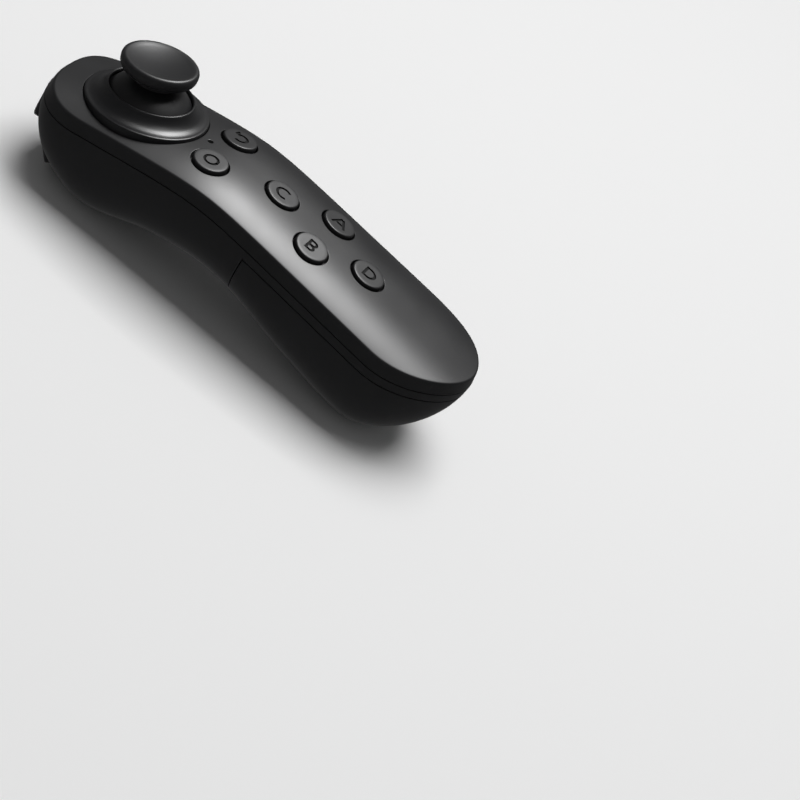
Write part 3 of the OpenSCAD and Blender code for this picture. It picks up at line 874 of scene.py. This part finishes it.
MARKS = {
    "a": [bar(-0.72, 0, 3.1, 66), bar(0.72, 0, 3.1, -66), bar(0, -0.5, 1.5, 0)],
    "b": [bar(-0.9, 0, 3, 90), *loop_strokes(0.65, 0.85), *loop_strokes(-0.65, 0.85)],
    "c": [sector(1.6, 50, 310)],
    "d": [bar(-0.9, 0, 3, 90), *loop_strokes(0, 1.5)],
    "ring": [sector(1.5, 0, 180), sector(1.5, 180, 360)],
    "return": [sector(1.5, -120, 130), bar(-1.25, 1.35, 1.1, 75), bar(-0.95, 0.85, 1.1, -15)],
}
CAP_PROFILE = [
    (AXIS_R, CAP_H), (1.5, CAP_H), (3.0, CAP_H), (CAP_R - 0.42, CAP_H), (CAP_R - 0.28, CAP_H - 0.02),
    (CAP_R - 0.15, CAP_H - 0.08), (CAP_R - 0.06, CAP_H - 0.18), (CAP_R - 0.01, CAP_H - 0.32),
    (CAP_R, CAP_H - 0.5), (CAP_R, -1.0), (CAP_R, -2.0), (5.1, -2.0), (5.1, -2.6), (1.2, -2.6),
    (1.2, -2.75), (AXIS_R, -2.75),
]


def is_mark_floor(centre):
    """True for a face at the bottom or on the walls of a mark, in the cap's own frame."""
    low = CAP_H - MARK_D - 0.02 < centre.z < CAP_H - 0.02
    return low and math.hypot(centre.x, centre.y) < CAP_R - 0.8


def button(key, x, y, node):
    """Button cap with its mark cut in; its body has the same name as its node."""
    build = Builder()
    build.grid(lathe(CAP_PROFILE, 96), wrap=True)
    cap = build.object("cap_" + key)
    for stroke in MARKS[key]:
        turned = [(MARK_SIZE * v, -MARK_SIZE * u) for u, v in stroke]
        verts, faces = prism(turned, CAP_H - MARK_D, CAP_H + 1)
        cut(cap, make_object("cutter", verts, faces))
    painted_shade_faces = [f.index for f in cap.data.polygons if is_mark_floor(f.center / MM)]
    co = np.array([v.co for v in cap.data.vertices], float) / MM
    placed = on_face(co, x, y) * MM
    cap.data.vertices.foreach_set("co", placed.astype(np.float32).ravel())
    cap.data.update()
    resharpen(cap, 25)
    dress(cap, "button_black", node, node)
    # The floors and walls of the mark get the painted-shade finish, so the grooves read darker than the
    # cap.
    cap.data.materials.append(MARK_SHADE)
    for index in painted_shade_faces:
        cap.data.polygons[index].material_index = 1


button("a", AB_X, AB_Y, "button_a")
button("b", -AB_X, AB_Y, "button_b")
button("c", 0, C_Y, "button_c")
button("d", 0, D_Y, "button_d")
button("ring", -PAIR_X, PAIR_Y, "ring_button")
button("return", PAIR_X, PAIR_Y, "return_button")


# ---- Triggers ----
def filleted(outline, radius=0.4, steps=6, reach=0.3):
    """Closed outline with rounded corners and long edges split into short ones."""
    p = np.array(outline, float)
    out = []
    for k in range(len(p)):
        before, here, after = p[k - 1], p[k], p[(k + 1) % len(p)]
        a, b = before - here, after - here
        trim = min(radius, 0.45 * np.linalg.norm(a), 0.45 * np.linalg.norm(b))
        start, stop = here + trim * unit(a), here + trim * unit(b)
        for t in np.linspace(0, 1, steps):
            out.append((1 - t) ** 2 * start + 2 * t * (1 - t) * here + t**2 * stop)
    dense = []
    for k, here in enumerate(out):
        after = out[(k + 1) % len(out)]
        parts = max(1, int(np.linalg.norm(after - here) / reach))
        dense += [here + (after - here) * q / parts for q in range(parts)]
    return np.array(dense)


def bulge(x):
    """How far a trigger's front stands out at x, with rounded sides."""
    past = max(0.0, abs(x) - TRIG_HW + TRIG_ROUND)
    edge = TRIG_ROUND - math.sqrt(max(0.0, TRIG_ROUND**2 - past**2))
    return TRIG_BULGE * (1 - (x / TRIG_HW) ** 2) - 0.8 * edge


def trigger(name, outline, front, lean, hinge):
    """A side outline swept across, its leaning front face bulging in the middle."""
    profile = filleted(outline)
    ahead, behind = np.roll(profile, -1, 0), np.roll(profile, 1, 0)
    along = unit(ahead - behind)
    inward = np.stack([-along[:, 1], along[:, 0]], -1)
    middle = profile.mean(0)
    inward *= np.sign(np.sum((middle - profile) * inward, -1).sum())
    c, q = math.cos(lean), math.sin(lean)
    rows = []
    inner = [(x, 0.0) for x in np.linspace(-1, 1, 65) * (TRIG_HW - 0.14)]
    first = [(-TRIG_HW, 0.14), (-TRIG_HW + 0.04, 0.04)]
    last = [(TRIG_HW - 0.04, 0.04), (TRIG_HW, 0.14)]
    for x, inset in first + inner + last:
        p = profile + inset * inward - np.array(front)
        u = p[:, 0] * c - p[:, 1] * q
        v = p[:, 0] * q + p[:, 1] * c
        limit = bulge(x) - inset
        u = -TRIG_SOFT * np.logaddexp(-u / TRIG_SOFT, -limit / TRIG_SOFT)
        y, z = front[0] + u * c + v * q, front[1] - u * q + v * c
        rows.append(np.stack([np.full(len(p), x), y, z], -1))
    build = Builder()
    build.grid(np.stack(rows, 0), wrap=True)
    n = len(profile)
    build.faces.append(tuple(range(n)))
    build.faces.append(tuple(reversed(range((len(rows) - 1) * n, len(rows) * n))))
    piece = build.object(name + "_body")
    pin = Builder()
    ring = lathe([(AXIS_R, -9), (PIN_R, -9), (PIN_R, 9), (AXIS_R, 9)], 48)
    y, z = ring[..., 0] + hinge[0], ring[..., 1] + hinge[1]
    pin.grid(np.stack([ring[..., 2], y, z], -1), wrap=True)
    cut(piece, pin.object("pin_hole"))
    resharpen(piece)
    dress(piece, "trigger_black", name, name)


UPPER_SIDE = [(58.5, 18.1), (59.2, 17.3), (59.45, 16), (59.35, 14), (58.5, 10.9), (58, 10.5), (55.2, 10.9)]
UPPER_SIDE += [(51.6, 11.1), (51.6, 13.6), (52.9, 15.4), (52.9, 18.1)]
LOWER_SIDE = [(54.8, 8.55), (55, 7), (54.6, 5.7), (51.6, 1.7), (50.9, 1.2), (48.3, 2.9), (46.6, 5.6)]
LOWER_SIDE += [(48.3, 8.5), (50, 10), (51.2, 10), (52, 8.55)]
trigger("upper_trigger", UPPER_SIDE, (58.45, 14), 0.0, (54.6, 17))
trigger("lower_trigger", LOWER_SIDE, (50.6, 1.7), math.radians(36.87), (50.6, 8.2))


# ---- Other CAD nodes keep their shape and get their finish ----
SLOT_OF = {s["node"]: s["material_slot"] for s in frame["record"]["subparts"]}
for node_name, node_object in frame["nodes"].items():
    slot_name = SLOT_OF[node_name]
    node_object.data.materials.clear()
    node_object.data.materials.append(MATERIALS[slot_name])


# ---- Floor, light and camera ----
FLOOR_HALF = 6000
FLOOR_DROP = 0.05


def floor():
    build = Builder()
    x = np.linspace(-FLOOR_HALF, FLOOR_HALF, 5)
    grid = np.stack(np.meshgrid(x, x, indexing="ij"), -1)
    build.grid(np.concatenate([grid, np.full(grid.shape[:2] + (1,), -FLOOR_DROP)], -1))
    sheet = build.object("floor")
    material, _, shader = new_material("floor_paper")
    shader.inputs["Base Color"].default_value = (0.93, 0.93, 0.93, 1)
    shader.inputs["Roughness"].default_value = 0.8
    shader.inputs["Specular IOR Level"].default_value = 0.1
    sheet.data.materials.append(material)
    sheet.visible_glossy = False


def area_light(name, place, target, size, power, size_y=None):
    data = bpy.data.lights.new(name, "AREA")
    data.energy = power
    data.shape = "RECTANGLE"
    data.size = size
    data.size_y = size_y or size
    lamp = bpy.data.objects.new(name, data)
    lamp.location = place
    lamp.rotation_euler = (Vector(target) - Vector(place)).to_track_quat("-Z", "Y").to_euler()
    bpy.context.scene.collection.objects.link(lamp)
    return lamp


CAM_AZ = math.radians(-86.63)
CAM_EL = math.radians(34.5)
CAM_ROLL = math.radians(37.16)
CAM_OFF = (26.64, -46.24, 508.37)
CAM_LENS = 101.06


def camera():
    """Camera at the chosen angles, shifted sideways, up and back from the body's middle."""
    flat = math.cos(CAM_EL)
    back = Vector((math.sin(CAM_AZ) * flat, -math.cos(CAM_AZ) * flat, math.sin(CAM_EL)))
    level = Vector((0, 0, 1)).cross(back).normalized()
    lift = back.cross(level)
    right = math.cos(CAM_ROLL) * level + math.sin(CAM_ROLL) * lift
    up = -math.sin(CAM_ROLL) * level + math.cos(CAM_ROLL) * lift
    place = Vector((0, C_Y, C_Z)) + CAM_OFF[0] * right + CAM_OFF[1] * up + CAM_OFF[2] * back
    data = bpy.data.cameras.new("camera")
    data.lens = CAM_LENS
    data.sensor_width = 36
    data.clip_start = 0.01
    data.clip_end = 20
    view = bpy.data.objects.new("camera", data)
    turn = Matrix((right, up, back)).transposed()
    view.matrix_world = Matrix.Translation(place * MM) @ turn.to_4x4()
    bpy.context.scene.collection.objects.link(view)
    bpy.context.scene.camera = view


def camera_place():
    return bpy.context.scene.camera.matrix_world.translation


def mirror_way(x, y):
    """Direction in which the top face at x, y mirrors the camera."""
    point = Vector((x, y, float(face_z(x, np.array(y))))) * MM
    lean = CROWN_POW * crown_drop(x) / max(1, abs(x)) * math.copysign(1, x)
    normal = Vector((lean, -float(slope(np.array(y))), 1)).normalized()
    view = (camera_place() - point).normalized()
    return point, 2 * normal.dot(view) * normal - view


def key_light(x, y, distance, size, size_y, power):
    """Lamp that the top face mirrors to the camera at x, y."""
    point, way = mirror_way(x, y)
    lamp = area_light("key", point + way * distance, point, size, power, size_y)
    lamp.visible_diffuse = False


def studio_world(strength):
    world = bpy.data.worlds.new("studio")
    world.use_nodes = True
    background = world.node_tree.nodes["Background"]
    background.inputs["Color"].default_value = (1, 1, 1, 1)
    background.inputs["Strength"].default_value = strength
    bpy.context.scene.world = world


floor()
camera()
key_light(x=-13.5, y=4, distance=0.5, size=0.2, size_y=0.26, power=4.4)
area_light("overhead", place=(0.3, 0.0, 1.2), target=(0, 0, 0), size=0.9, power=13.5)
studio_world(0.14)
bpy.context.scene.view_settings.view_transform = "Standard"
